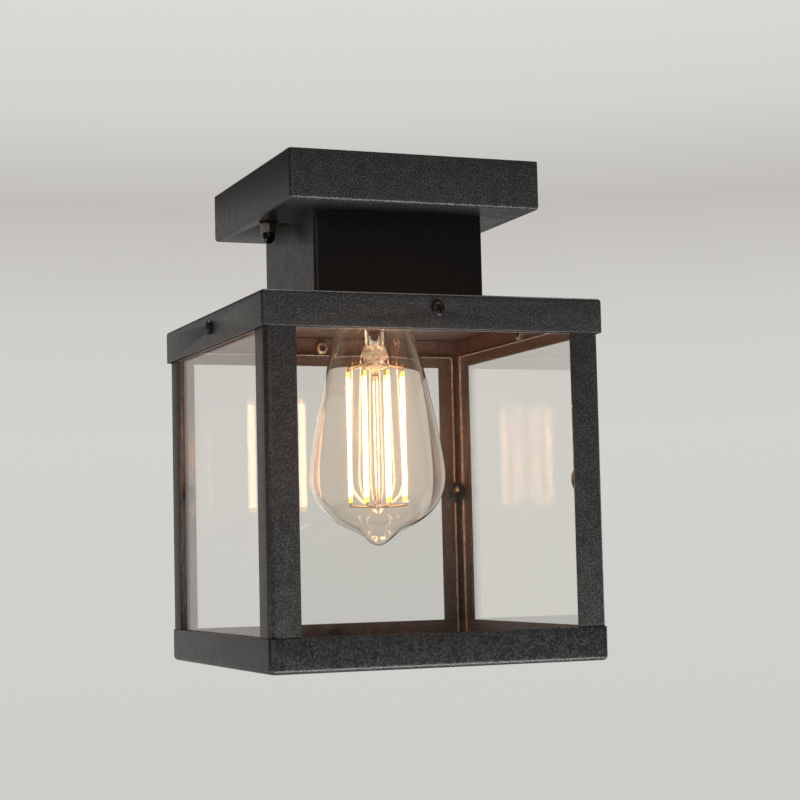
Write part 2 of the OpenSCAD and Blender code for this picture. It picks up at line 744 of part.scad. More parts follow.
// Round clip with a crowned face, pushed onto its stud
module pane_clips() {
    r = clip_d/2;
    color("#161617") for (turn = SIDES)
        rotate([0, 0, turn + 45]) translate([CLIP_FACE, 0, Z_CLIP]) rotate([0, -90, 0]) difference() {
            rotate_extrude() polygon(concat(
                [[0, 0], [r - CLIP_EDGE, 0], [r, CLIP_EDGE]],
                curve([r, 1.2], 90, 0.9, [0, CLIP_T], 180, r*0.6, 8)
            ));
            translate([0, 0, -PAST]) cylinder(d = CLIP_STUD_D + 2*SEAT, h = CLIP_T - 1 + SEAT + PAST);
        }
}

// Thin oval pad between the back pane and its bottom rail
module pane_pad() {
    w = PAD_SIZE[0];
    h = PAD_SIZE[1];
    r = (w*w + h*h)/(4*h);
    color("#1c2b4a") translate([4, PANE_OUT, PAD_Z]) rotate([-90, 0, 0]) linear_extrude(PANE_GAP)
        intersection_for (side = [-1, 1]) translate([0, side*(r - h/2)]) circle(r, $fn = 96);
}

// ---- bulb ----

// Half outline of the blown envelope, from inside the cap down to the tip
function envelope() =
    let (
        r = bulb_d/2,
        neck_top = [NECK_R, Z_SHELL_END + 7],
        neck_end = [NECK_R + 0.3, Z_SHELL_END],
        flank = [18.2, Z_SHELL_END - 10.9],
        belly = [r, Z_BELLY],
        shoulder = [0.45*r, Z_BULB_TIP + 8.2],
        nipple = [7.2, Z_BULB_TIP + 3.9],
        tip = [0, Z_BULB_TIP]
    )
    joined(joined(joined(joined(joined(
        [neck_top, neck_end],
        curve(neck_end, -68, 3.6, flank, -75, 4.5, 8)),
        curve(flank, -75, 20, belly, -90, 10, 18)),
        curve(belly, -90, 13, shoulder, -156, 10, 14)),
        curve(shoulder, -156, 4, nipple, -137, 2.5, 5)),
        curve(nipple, -137, 3.2, tip, -180, 2.6, 7));

module bulb_glass() {
    outside = envelope();
    last = len(outside) - 1;
    inner = beside(outside, bulb_wall);
    inside = concat([for (i = [0:last - 1]) inner[i]], [[0, Z_BULB_TIP + bulb_wall]]);
    color(GLASS) rotate_extrude($fn = 128) polygon(concat(outside, reversed(inside)));
}

// Solder dome at the very end of the cap
module bulb_contact() {
    color("#b8b6b0") rotate_extrude() polygon(concat(
        [[0, Z_CONTACT - CONTACT_H], [4.8, Z_CONTACT - CONTACT_H]],
        curve([4.8, Z_CONTACT - CONTACT_H + 0.2], 90, 0.9, [0, Z_CONTACT], 180, 2.6, 6)
    ));
}

// Black glass cone between the contact and the screw shell
module bulb_insulator() {
    top = Z_CONTACT - CONTACT_H - FIT;
    color("#141416") rotate_extrude() polygon([
        [2, Z_SHELL], [9.6, Z_SHELL], [9.6, Z_SHELL + 0.6], [5.4, top], [2, top]
    ]);
}

// Screw shell: rounded ring profile at the thread's pitch, drawn in at the top round the insulator
module bulb_shell() {
    r = cap_thread_d/2;
    root = r - 0.9;
    pitch = 3.629;
    turns = 4;
    top = Z_SHELL - 1.4;
    wave = [
        for (i = [0:turns*8])
            [root + (r - root)*(1 - cos(360*i/8))/2, top - 1 - pitch*i/8]
    ];
    outside = concat(
        [[8.4, Z_SHELL], [10.2, Z_SHELL]],
        curve([10.2, Z_SHELL], -20, 1, [root, top - 0.5], -80, 0.8, 4),
        wave,
        [[root, Z_SHELL_END + 4], [r - 0.1, Z_SHELL_END + 2.6], [r, Z_SHELL_END]]
    );
    color(NICKEL) rotate_extrude() polygon(concat(
        outside, [[root - SHELL_T, Z_SHELL_END], [root - SHELL_T, Z_SHELL - 2], [8.4, Z_SHELL - SHELL_T]]
    ));
}

// Press at the end of the stem: the tube squeezed to a flat
module bulb_press() {
    intersection() {
        translate([0, 0, Z_PRESS - PRESS_H]) cylinder(r1 = PRESS_R - 0.6, r2 = PRESS_R, h = PRESS_H, $fn = 48);
        translate([-PRESS_R, -PRESS_T/2, Z_PRESS - PRESS_H]) cube([2*PRESS_R, PRESS_T, PRESS_H]);
    }
}

// Flared glass tube, its press, the exhaust tube inside it and the centre rod below it
module bulb_stem() {
    wall = 0.9;
    seal = NECK_R - bulb_wall - SEAT;
    outside = joined(
        curve([seal, Z_SHELL_END + 6.4], -90, 1, [seal - 0.3, Z_SHELL_END + 5], -100, 1, 2),
        curve([seal - 0.3, Z_SHELL_END + 5], -125, 5, [5.3, Z_SHELL_END - 5], -90, 6, 8)
    );
    tube = concat(outside, [[5.3, Z_PRESS - 1]]);
    color(GLASS) union() {
        rotate_extrude() polygon(concat(tube, reversed(beside(tube, wall))));
        bulb_press();
        translate([0, 0, Z_PRESS - 1]) cylinder(r = 5.3, h = 1.6);
        difference() {
            translate([0, 0, Z_PRESS]) cylinder(r = 2, h = Z_SHELL_END + 9 - Z_PRESS, $fn = 32);
            translate([0, 0, Z_PRESS + 1]) cylinder(r = 1.3, h = Z_SHELL_END + 9 - Z_PRESS, $fn = 32);
        }
        translate([0, 0, Z_STAR]) cylinder(r = 1.3, h = Z_PRESS - PRESS_H - Z_STAR + 0.5, $fn = 32);
        translate([0, 0, Z_STAR]) sphere(STAR_R, $fn = 48);
    }
}

// Two nickel wires from the press up to the cap
module bulb_lead_wires() {
    color(NICKEL) for (x = [-1, 1])
        translate([x*3.1, 0, Z_PRESS + 0.6]) cylinder(d = 0.6, h = Z_SHELL - 2 - Z_PRESS - 0.6, $fn = 16);
}

function filament_turn(i) = 360*i/filament_count + 4;
function on_ring(i, r, z) = [r*cos(filament_turn(i)), r*sin(filament_turn(i)), z];

// Bent wire from start to the ring, then along Z to a filament's end, with a weld bead at the bend
module filament_wire(i, start, bend_z, end_z) {
    corner = on_ring(i, filament_ring_r, bend_z);
    union() {
        bar(start, corner, WIRE_D);
        bar(corner, on_ring(i, filament_ring_r, end_z), WIRE_D);
        translate(corner) sphere(d = 1.5*WIRE_D, $fn = 24);
    }
}

// Wires from the sides of the press out to the filaments' top ends
module filament_hangers() {
    color(NICKEL) for (i = [0:filament_count - 1]) {
        turn = filament_turn(i);
        flat = (PRESS_T/2 + WIRE_D/2*abs(cos(turn)))/max(0.01, abs(sin(turn)));
        reach = min(PRESS_R, flat) + SEAT;
        filament_wire(i, on_ring(i, reach, Z_FILAMENT + 4), Z_FILAMENT + 1.8, Z_FILAMENT);
    }
}

// Wires from the glass bead out to the filaments' bottom ends
module filament_star() {
    low = Z_FILAMENT - filament_l;
    color(NICKEL) for (i = [0:filament_count - 1])
        filament_wire(i, on_ring(i, STAR_R + SEAT/2, Z_STAR), low - 1.6, low);
}

module filaments() {
    color("#f4c95a") for (i = [0:filament_count - 1])
        translate(on_ring(i, filament_ring_r, Z_FILAMENT - filament_l))
            cylinder(d = filament_d, h = filament_l, $fn = 24);
}

module turned(side) { rotate([0, 0, 90*side]) children(); }

mounting_bracket();
hanger_bolts();
hanger_nuts();
terminal_block();
terminal_screws();
block_screws();
earth_screw();
live_lead();
neutral_lead();
earth_lead();
canopy();
cable_grommet();
cap_washers();
cap_nuts();
neck();
holder_screws();
holder_washer();
lampholder_body();
lampholder_sleeve();
lampholder_contact();
roof_tray();
skirt_screws();
skirt_nuts();
turned(0) corner_post();  // post_back_right
turned(1) corner_post();  // post_back_left
turned(2) corner_post();  // post_front_left
turned(3) corner_post();  // post_front_right
turned(0) top_rail();  // top_rail_right
turned(1) top_rail();  // top_rail_back
turned(2) top_rail();  // top_rail_left
turned(3) top_rail();  // top_rail_front
turned(0) bottom_rail();  // bottom_rail_right
turned(1) bottom_rail();  // bottom_rail_back
turned(2) bottom_rail();  // bottom_rail_left
turned(3) bottom_rail();  // bottom_rail_front
turned(0) pane();  // pane_right
turned(1) pane();  // pane_back
turned(2) pane();  // pane_left
turned(3) pane();  // pane_front
clip_studs();
pane_clips();
pane_pad();
bulb_contact();
bulb_insulator();
bulb_shell();
bulb_glass();
bulb_stem();
bulb_lead_wires();
filament_hangers();
filament_star();
filaments();
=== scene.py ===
"""Porch ceiling lantern: black powder-coated sheet steel, clear panes and one large filament bulb."""

import json
import math

import bmesh
import bpy
from mathutils import Matrix, Vector

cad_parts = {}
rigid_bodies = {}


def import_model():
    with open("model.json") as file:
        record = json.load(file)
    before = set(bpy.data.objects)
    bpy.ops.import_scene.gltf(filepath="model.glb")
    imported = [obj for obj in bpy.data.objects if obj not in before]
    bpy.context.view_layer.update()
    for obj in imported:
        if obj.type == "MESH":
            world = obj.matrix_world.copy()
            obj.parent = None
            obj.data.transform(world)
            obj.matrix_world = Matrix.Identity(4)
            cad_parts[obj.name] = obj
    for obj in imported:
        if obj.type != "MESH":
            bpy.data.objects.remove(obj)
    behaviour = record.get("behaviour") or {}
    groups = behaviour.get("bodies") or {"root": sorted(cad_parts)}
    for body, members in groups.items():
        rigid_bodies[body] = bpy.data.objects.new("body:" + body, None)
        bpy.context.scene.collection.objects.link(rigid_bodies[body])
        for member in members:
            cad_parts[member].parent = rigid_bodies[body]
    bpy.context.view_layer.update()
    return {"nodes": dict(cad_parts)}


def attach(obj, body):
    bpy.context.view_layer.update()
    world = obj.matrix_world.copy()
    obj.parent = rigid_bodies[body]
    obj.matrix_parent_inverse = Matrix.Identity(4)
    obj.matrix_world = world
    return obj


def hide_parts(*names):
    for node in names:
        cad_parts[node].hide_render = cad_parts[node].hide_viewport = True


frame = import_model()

nodes = frame["nodes"]
MM = 0.001
QUARTERS = (0, 90, 180, 270)

# ---------------------------------------------------------------- sizes, in millimetres

SHEET, ANGLE = 1.2, 1.5  # thickness of the trays, and of the posts and rails
CANOPY_FOLD, ROOF_FOLD, POST_FOLD, FOOT_FOLD = 1.7, 1.8, 3.4, 2.4  # outer radii of the folded corners
CANOPY_W, CANOPY_D = 120.0, 22.5
ROOF_W, Z_ROOF, Z_SKIRT = 160.0, -65.5, -81.0
CAGE_W, Z_CAGE, Z_POST, Z_FOOT = 157.0, -67.0, -212.0, -227.0
CAGE_IN = CAGE_W / 2 - ANGLE
POST_LEG, RAIL_FLANGE, TOP_RAIL_H, PROUD = 14.0, 12.0, 14.5, 0.35
PANE_T, PANE_OUT, PANE_W, Z_PANE, Z_PANE_TOP = 3.0, 76.8, 143.0, -225.3, -76.0
Z_SCREW = -72.5
BOLT_X, HOLDER_SCREW_X = 51.0, 14.0
HANGER_HOLE, HOLDER_SCREW_HOLE, GROMMET_HOLE, ROOF_HOLE, SKIRT_HOLE = 4.5, 4.2, 14.0, 52.0, 3.2
Z_SHELL, Z_SHELL_END = -38.2, -60.5
NECK_R, GLASS_T = 11.2, 0.8
Z_PINCH, Z_PINCH_END = -80.5, -92.0
Z_TIP, Z_BELLY = -173.8, -141.0
Z_FILAMENT, FILAMENT_L, Z_STAR = -92.5, 61.0, -156.0
RING_R, FILAMENTS, FIRST_TURN, FILAMENT_R = 13.8, 8, 4.0, 0.66
THREAD_R, THREAD_PITCH, THREAD_DEPTH, HEM_H, SHOULDER_H = 13.1, 3.629, 0.9, 3.0, 1.9
LEAD_R, LUG_D, LUG_T, BARREL_L = 1.1, 8.6, 0.8, 4.2


# ---------------------------------------------------------------- finishes


def srgb(code):
    """A hex colour as linear red, green, blue and alpha."""
    parts = [int(code[i : i + 2], 16) / 255 for i in (1, 3, 5)]
    return tuple(c / 12.92 if c <= 0.04045 else ((c + 0.055) / 1.055) ** 2.4 for c in parts) + (1.0,)


def add(tree, kind, settings):
    """Adds a node. A key that is a socket's name or number fills or links that socket, and any other is the node's
    own setting."""
    made = tree.nodes.new("ShaderNode" + kind)
    for key, value in settings.items():
        if isinstance(key, str) and key not in made.inputs:
            setattr(made, key, value)
        elif isinstance(value, bpy.types.NodeSocket):
            tree.links.new(value, made.inputs[key])
        else:
            made.inputs[key].default_value = value
    return made


def finish_named(name):
    """A new material with an empty tree and its output node."""
    made = bpy.data.materials.new(name)
    made.use_nodes = True
    made.node_tree.nodes.clear()
    return made, made.node_tree, made.node_tree.nodes.new("ShaderNodeOutputMaterial")


def stops(ramp, *pairs):
    """Sets a colour ramp's stops to (place, hex colour) pairs."""
    points = ramp.color_ramp.elements
    while len(points) > len(pairs):
        points.remove(points[-1])
    while len(points) < len(pairs):
        points.new(0.5)
    for point, (place, code) in zip(points, pairs):
        point.position = place
        point.color = srgb(code)


def place_in(tree):
    """Object coordinates, so that a pattern stays with its piece."""
    return add(tree, "TexCoord", {}).outputs["Object"]


def noise(tree, where, size_mm, detail, **more):
    """Noise with patches of about that size."""
    settings = {"Vector": where, "Scale": 1 / (size_mm * MM), "Detail": detail, **more}
    return add(tree, "TexNoise", settings).outputs["Fac"]


def ranged(tree, value, low, high, least, most):
    """A value between low and high, spread out between least and most."""
    settings = {"Value": value, "From Min": low, "From Max": high, "To Min": least, "To Max": most}
    return add(tree, "MapRange", settings).outputs["Result"]


def bumped(tree, height, depth_mm, strength, **more):
    """The normal of a surface with that relief."""
    relief = {"Height": height, "Distance": depth_mm * MM, "Strength": strength, **more}
    return add(tree, "Bump", relief).outputs["Normal"]


def toned(tree, value, *pairs):
    """A colour that a value picks from a ramp of (place, hex colour) pairs."""
    ramp = add(tree, "ValToRGB", {"Fac": value})
    stops(ramp, *pairs)
    return ramp.outputs["Color"]


def surface(tree, out, settings):
    """Ends a tree with a Principled surface."""
    body = add(tree, "BsdfPrincipled", settings)
    tree.links.new(body.outputs[0], out.inputs["Surface"])


def powder_coat():
    """Polyester powder coat, fine-texture black, sprayed on sheet steel and baked: a dry, sandy matt with a soft grey
    sheen towards grazing light, and fine light and dark mottling. The 0.4 mm grain is drawn at 0.8 mm to show."""
    made, tree, out = finish_named("powder_coat_black_fine_texture")
    where = place_in(tree)
    grain = noise(tree, where, 0.8, 1.0, Roughness=0.5)
    swell = noise(tree, where, 5, 1.0, Roughness=0.5)
    both = add(tree, "Mix", {"data_type": "FLOAT", 0: 0.15, 2: grain, 3: swell})
    low = bumped(tree, swell, 0.2, 0.15)
    surface(tree, out, {
        "Base Color": toned(tree, both.outputs[0], (0.34, "#1a1a1b"), (0.5, "#272727"), (0.66, "#3c3c3c")),
        "Roughness": ranged(tree, swell, 0.3, 0.7, 0.33, 0.4), "IOR": 1.5,
        "Normal": bumped(tree, grain, 0.16, 0.6, Normal=low)})
    return made


def clear_glass(name, tint, ior, shade, ripple=None):
    """Clear glass that lamps shine through: float, blown or drawn. ripple is (width in mm, depth in mm) of the slow
    waves that blowing leaves."""
    made, tree, out = finish_named(name)
    settings = {"Base Color": srgb(tint), "Roughness": 0.0, "IOR": ior, "Transmission Weight": 1.0}
    if ripple:
        settings["Normal"] = bumped(tree, noise(tree, place_in(tree), ripple[0], 1.0), ripple[1], 1.0)
    glass = add(tree, "BsdfPrincipled", settings)
    through = add(tree, "BsdfTransparent", {"Color": srgb(shade)})
    path = add(tree, "LightPath", {})
    mix = add(tree, "MixShader", {0: path.outputs["Is Shadow Ray"], 1: glass.outputs[0], 2: through.outputs[0]})
    tree.links.new(mix.outputs[0], out.inputs["Surface"])
    return made


def pressed_glass():
    """Soft lead glass of the stem, lumpy and seedy where it was pinched, so that it catches the filaments' light."""
    made, tree, out = finish_named("pressed_lead_glass")
    lumps = noise(tree, place_in(tree), 3, 2.0)
    surface(tree, out, {
        "Base Color": toned(tree, lumps, (0.35, "#f4e9d6"), (0.65, "#fffaf0")), "Roughness": 0.04, "IOR": 1.56,
        "Transmission Weight": 0.72, "Normal": bumped(tree, lumps, 0.5, 1.0)})
    return made


def ground_edge():
    """The panes' edges, cut and ground: a frosted, slightly green band with fine chips that catch light."""
    made, tree, out = finish_named("float_glass_ground_edge")
    where = place_in(tree)
    grit, chips = noise(tree, where, 0.9, 2.0), noise(tree, where, 4, 3.0)
    surface(tree, out, {
        "Base Color": toned(tree, chips, (0.4, "#686e6a"), (0.68, "#b4bab5")),
        "Roughness": ranged(tree, grit, 0.35, 0.65, 0.25, 0.5), "IOR": 1.5,
        "Transmission Weight": 0.6, "Normal": bumped(tree, grit, 0.15, 0.8)})
    return made


def clouded(tree, where, code, size_mm, dimmed):
    """A colour with slow stains in it, which are dimmed to that share."""
    light, dark = srgb(code), [c * dimmed for c in srgb(code)[:3]] + [1]
    patches = noise(tree, where, size_mm, 2.0)
    return add(tree, "Mix", {"data_type": "RGBA", "Factor": patches, 6: light, 7: dark}).outputs[2]


def plated(name, code, rough, grain_mm, stretch=(1, 1, 1), depth=0.02, metallic=1.0):
    """Plated or drawn metal: fine rolling or turning marks grain_mm apart in the roughness, and slow stains in the
    colour."""
    made, tree, out = finish_named(name)
    where = place_in(tree)
    along = add(tree, "Mapping", {"Vector": where, "Scale": stretch})
    marks = noise(tree, along.outputs[0], grain_mm, 3.0)
    surface(tree, out, {
        "Base Color": clouded(tree, where, code, 6, 0.72), "Metallic": metallic,
        "Roughness": ranged(tree, marks, 0.3, 0.7, rough * 0.7, rough * 1.4),
        "Normal": bumped(tree, marks, depth, 0.5)})
    return made


def moulded(name, code, rough, grain_mm=0.8, ior=1.5, depth=0.03):
    """Moulded plastic, rubber, felt or glazed ceramic: an even colour with slow clouds in it, and a fine skin."""
    made, tree, out = finish_named(name)
    where = place_in(tree)
    skin = noise(tree, where, grain_mm, 2.0)
    surface(tree, out, {
        "Base Color": clouded(tree, where, code, 9, 0.85), "IOR": ior,
        "Roughness": ranged(tree, skin, 0.3, 0.7, rough * 0.85, rough * 1.15),
        "Normal": bumped(tree, skin, depth, 0.5)})
    return made


def lit_phosphor():
    """Phosphor-filled silicone over a lit filament: it glows almost white along its length, and shows its own amber
    yellow for the last few millimetres at each end."""
    made, tree, out = finish_named("phosphor_silicone_lit")
    where = place_in(tree)
    height = add(tree, "SeparateXYZ", {"Vector": where}).outputs["Z"]
    off = add(tree, "Math", {"operation": "SUBTRACT", 0: height, 1: (Z_FILAMENT - FILAMENT_L / 2) * MM})
    reach = add(tree, "Math", {"operation": "ABSOLUTE", 0: off.outputs[0]}).outputs[0]
    ends = ranged(tree, reach, (FILAMENT_L / 2 - 3.6) * MM, (FILAMENT_L / 2 - 2.4) * MM, 0.0, 1.0)
    lit, unlit = (1.0, 0.62, 0.3, 1), (0.13, 0.065, 0.008, 1)
    glow = add(tree, "Mix", {"data_type": "RGBA", "Factor": ends, 6: lit, 7: unlit})
    surface(tree, out, {
        "Base Color": srgb("#f0a52a"), "Roughness": 0.45, "Emission Color": glow.outputs[2],
        "Emission Strength": ranged(tree, noise(tree, where, 1.4, 1.0), 0.3, 0.7, 27.0, 33.0)})
    return made


BLACK = powder_coat()
PANE = clear_glass("float_glass_clear", "#fdfdfb", 1.52, "#f6f7f4")
EDGE = ground_edge()
BLOWN = clear_glass("blown_soda_lime_glass", "#fffaf4", 1.5, "#fdf8f0", ripple=(30, 0.03))
DRAWN = clear_glass("drawn_lead_glass", "#fdfcf8", 1.56, "#f6f2ea", ripple=(5, 0.2))
ZINC = plated("bright_zinc_plated_steel", "#c3c5c4", 0.3, 0.5, (1, 6, 1))
BLACK_ZINC = plated("black_oxide_steel", "#17171a", 0.34, 0.4, metallic=0.0)
NICKEL = plated("bright_nickel_plated_brass", "#d3cabb", 0.16, 0.5)
NUT = plated("bright_nickel_hexagon_nut", "#e2d8c6", 0.38, 0.5)
WIRE = plated("drawn_nickel_wire", "#b9b2a6", 0.28, 0.3)
BRASS = plated("pressed_brass", "#c49a4e", 0.3, 0.4)
SOLDER = plated("tin_solder", "#b9b8b2", 0.4, 1.2, depth=0.1)
PORCELAIN = moulded("glazed_porcelain", "#ece8dc", 0.12, 2.5, 1.55)
CLIP = moulded("black_moulded_nylon", "#050505", 0.24, 0.6)
LACQUER = moulded("black_enamelled_cap", "#060607", 0.12, 2.0)
RUBBER = moulded("black_moulded_rubber", "#1b1b1c", 0.62, 0.5)
PAD = moulded("dark_blue_felt_pad", "#18284a", 0.8, 0.35, depth=0.1)
BLOCK = moulded("natural_moulded_nylon", "#dcd8cb", 0.4)
VITRITE = moulded("black_glass_insulator", "#0f0f11", 0.08, 2.0)
BROWN = moulded("brown_wire_insulation", "#6b4428", 0.42, 0.5)
BLUE = moulded("blue_wire_insulation", "#2c5c9e", 0.42, 0.5)
GREEN = moulded("green_wire_insulation", "#6f9a33", 0.42, 0.5)
TINNED = plated("tinned_copper_lug", "#c9c7c0", 0.34, 0.5)
STEM = pressed_glass()
PHOSPHOR = lit_phosphor()

# ---------------------------------------------------------------- making meshes


def solid(name, bm, body, finish, stands_for=(), sharp=35, modifiers=()):
    """Turns a bmesh drawn in millimetres into a finished piece that rides on a body. Edges sharper than the angle
    stay sharp, and modifiers are applied."""
    bmesh.ops.transform(bm, matrix=Matrix.Scale(MM, 4), verts=bm.verts)
    for face in bm.faces:
        face.smooth = True
    for edge in bm.edges:
        if len(edge.link_faces) == 2 and edge.calc_face_angle(0) > math.radians(sharp):
            edge.smooth = False
    mesh = bpy.data.meshes.new(name)
    bm.to_mesh(mesh)
    bm.free()
    made = bpy.data.objects.new(name, mesh)
    bpy.context.scene.collection.objects.link(made)
    for finish_one in finish if isinstance(finish, (list, tuple)) else [finish]:
        mesh.materials.append(finish_one)
    for kind, settings in modifiers:
        live = made.modifiers.new(kind.lower(), kind)
        for key, value in settings.items():
            setattr(live, key, value)
    if modifiers:
        graph = bpy.context.evaluated_depsgraph_get()
        made.data = bpy.data.meshes.new_from_object(made.evaluated_get(graph))
        made.modifiers.clear()
        bpy.data.meshes.remove(mesh)
    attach(made, body)
    if stands_for:
        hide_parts(*([stands_for] if isinstance(stands_for, str) else stands_for))
    return made


def spun(points, steps=64, closed=True):
    """A bmesh lathed about Z from (radius, height) points. closed joins the last point to the first."""
    bm = bmesh.new()
    rim = [bm.verts.new((r, 0, z)) for r, z in points]
    ends = list(zip(rim, rim[1:])) + ([(rim[-1], rim[0])] if closed and points[0][0] + points[-1][0] > 0 else [])
    edges = [bm.edges.new(pair) for pair in ends]
    bmesh.ops.spin(
        bm, geom=rim + edges, angle=2 * math.pi, steps=steps, axis=(0, 0, 1), cent=(0, 0, 0), use_merge=True)
    bmesh.ops.remove_doubles(bm, verts=bm.verts, dist=1e-4)
    bmesh.ops.recalc_face_normals(bm, faces=bm.faces)
    return bm


def facing(bm, outward=True):
    """The bmesh, a surface round Z, with its faces turned away from Z, or else towards it. All faces have a say, as
    the order of the faces and the side that an open surface is given at first differ from run to run."""
    bm.normal_update()
    flow = sum(f.calc_area() * f.normal.xy.dot(f.calc_center_median().xy) for f in bm.faces)
    if (flow < 0) == outward:
        bmesh.ops.reverse_faces(bm, faces=bm.faces)
    return bm


def joined(*parts):
    """One bmesh that holds several."""
    whole = bmesh.new()
    for bm in parts:
        keep = bpy.data.meshes.new("part")
        bm.to_mesh(keep)
        whole.from_mesh(keep)
        bpy.data.meshes.remove(keep)
        bm.free()
    return whole


def placed(bm, *moves):
    """The bmesh after the moves, which are matrices in the order in which they happen."""
    for move in moves:
        bmesh.ops.transform(bm, matrix=move, verts=bm.verts)
    return bm


def turned(angle, axis="Z"):
    """A turn of so many degrees about an axis through the origin."""
    return Matrix.Rotation(math.radians(angle), 4, axis)


def shifted(x, y, z):
    """A move by so many millimetres."""
    return Matrix.Translation((x, y, z))


def pull(p, angle, d):
    """The point d away from p, in the direction of that many degrees."""
    return (p[0] + d * math.cos(math.radians(angle)), p[1] + d * math.sin(math.radians(angle)))


def curve(p, a, h, q, b, k, steps):
    """Points of a cubic curve that leaves p at angle a and reaches q at angle b; h and k are the two pulls."""
    c1, c2 = pull(p, a, h), pull(q, b + 180, k)
    found = []
    for i in range(steps + 1):
        t = i / steps
        u = 1 - t
        found.append(tuple(u**3 * p[n] + 3 * u * u * t * c1[n] + 3 * u * t * t * c2[n] + t**3 * q[n] for n in (0, 1)))
    return found


def rounded_box(size, low, high, fold, steps=8, keep_open=None):
    """A block between two heights with folded corners. keep_open takes off its 'top' or 'bottom' face, and the edges
    round that face stay square."""
    bm = bmesh.new()
    bmesh.ops.create_cube(bm, size=1)
    placed(bm, Matrix.Diagonal((size, size, high - low, 1)), shifted(0, 0, (low + high) / 2))
    edge_z = {"top": high, "bottom": low}.get(keep_open)
    open_faces = [f for f in bm.faces if keep_open and all(abs(v.co.z - edge_z) < 1e-6 for v in f.verts)]
    bmesh.ops.delete(bm, geom=open_faces, context="FACES_ONLY")
    folds = [e for e in bm.edges if edge_z is None or any(abs(v.co.z - edge_z) > 1e-6 for v in e.verts)]
    bmesh.ops.bevel(
        bm, geom=folds, offset=fold, offset_type="OFFSET", affect="EDGES", segments=steps, profile=0.5, material=-1)
    return bm


def as_object(bm):
    """A bare object of a bmesh drawn in millimetres, for a Boolean."""
    bmesh.ops.transform(bm, matrix=Matrix.Scale(MM, 4), verts=bm.verts)
    mesh = bpy.data.meshes.new("cutter")
    bm.to_mesh(mesh)
    bm.free()
    made = bpy.data.objects.new("cutter", mesh)
    bpy.context.scene.collection.objects.link(made)
    return made


def cutter(*parts):
    """One object that holds closed shapes, for a Boolean to take away."""
    return as_object(joined(*parts))


def carved(bm, operation, tool):
    """The bmesh after a Boolean with another."""
    body, other = as_object(bm), as_object(tool)
    live = body.modifiers.new("carve", "BOOLEAN")
    live.operation, live.object, live.solver = operation, other, "EXACT"
    graph = bpy.context.evaluated_depsgraph_get()
    made = bmesh.new()
    made.from_mesh(body.evaluated_get(graph).data)
    bmesh.ops.transform(made, matrix=Matrix.Scale(1 / MM, 4), verts=made.verts)
    for used in (body, other):
        bpy.data.objects.remove(used)
    return made


def repeated(bm, moves):
    """Copies of a bmesh, one for each move."""
    mesh = bpy.data.meshes.new("part")
    bm.to_mesh(mesh)
    bm.free()
    whole = bmesh.new()
    for move in moves:
        first = len(whole.verts)
        whole.from_mesh(mesh)
        whole.verts.ensure_lookup_table()
        bmesh.ops.transform(whole, matrix=move, verts=whole.verts[first:])
    bpy.data.meshes.remove(mesh)
    return whole


def tinted(bm, index):
    """The bmesh with all its faces in one material slot."""
    for face in bm.faces:
        face.material_index = index
    return bm


def rod(d, low, high, steps=48):
    """A closed round bar about Z."""
    return spun([(0, low), (d / 2, low), (d / 2, high), (0, high)], steps, closed=False)


RIM = ("BEVEL", {"width": 0.25 * MM, "segments": 2, "limit_method": "ANGLE", "angle_limit": math.radians(50)})


def wall(t):
    """A modifier that gives a surface a thickness inwards."""
    return ("SOLIDIFY", {"thickness": t * MM, "offset": -1.0, "use_even_offset": True, "use_quality_normals": True})


def holes(shape):
    """A modifier that takes a cutter away."""
    return ("BOOLEAN", {"operation": "DIFFERENCE", "object": shape, "solver": "EXACT"})


# ---------------------------------------------------------------- sheet steel

def canopy_hole(x, d):
    """A cutter for a round hole through the canopy's plate."""
    return placed(rod(d, -CANOPY_D - 1.5, -CANOPY_D + 2.5), shifted(x, 0, 0))


canopy_cuts = cutter(
    *[canopy_hole(x * BOLT_X, HANGER_HOLE) for x in (-1, 1)],
    *[canopy_hole(x * HOLDER_SCREW_X, HOLDER_SCREW_HOLE) for x in (-1, 1)],
    canopy_hole(0, GROMMET_HOLE),
)
solid(
    "canopy_shell", rounded_box(CANOPY_W, -CANOPY_D, 0, CANOPY_FOLD, keep_open="top"), "lantern",
    BLACK, "canopy", modifiers=[wall(SHEET), holes(canopy_cuts), RIM])


def skirt_hole(angle, inner, outer):
    """A cutter for a screw's hole in one of the four skirts, between two distances from the middle."""
    return placed(rod(SKIRT_HOLE, inner, outer), turned(90, "Y"), turned(angle), shifted(0, 0, Z_SCREW))


roof_cuts = cutter(
    rod(ROOF_HOLE, Z_ROOF - 4, Z_ROOF + 2, 96), *[skirt_hole(a, ROOF_W / 2 - 4, ROOF_W / 2 + 2) for a in QUARTERS])
solid(
    "roof_shell", rounded_box(ROOF_W, Z_SKIRT, Z_ROOF, ROOF_FOLD, keep_open="bottom"), "lantern",
    BLACK, "roof_tray", modifiers=[wall(SHEET), holes(roof_cuts), RIM])


def foot_frame():
    """The four bottom rails, welded and coated as one: a low wall with an inward flange, a little proud of the
    posts."""
    bm = rounded_box(CAGE_W + 2 * PROUD, Z_FOOT, Z_POST, FOOT_FOLD, keep_open="top")
    floor = [f for f in bm.faces if f.calc_center_median().z < Z_FOOT + 0.01]
    bmesh.ops.inset_region(bm, faces=floor, thickness=RAIL_FLANGE + PROUD - FOOT_FOLD, use_even_offset=True)
    bmesh.ops.delete(bm, geom=floor, context="FACES")
    return bm


solid(
    "foot_frame", foot_frame(), "lantern", BLACK,
    ["bottom_rail_front", "bottom_rail_right", "bottom_rail_back", "bottom_rail_left"], modifiers=[wall(ANGLE), RIM])


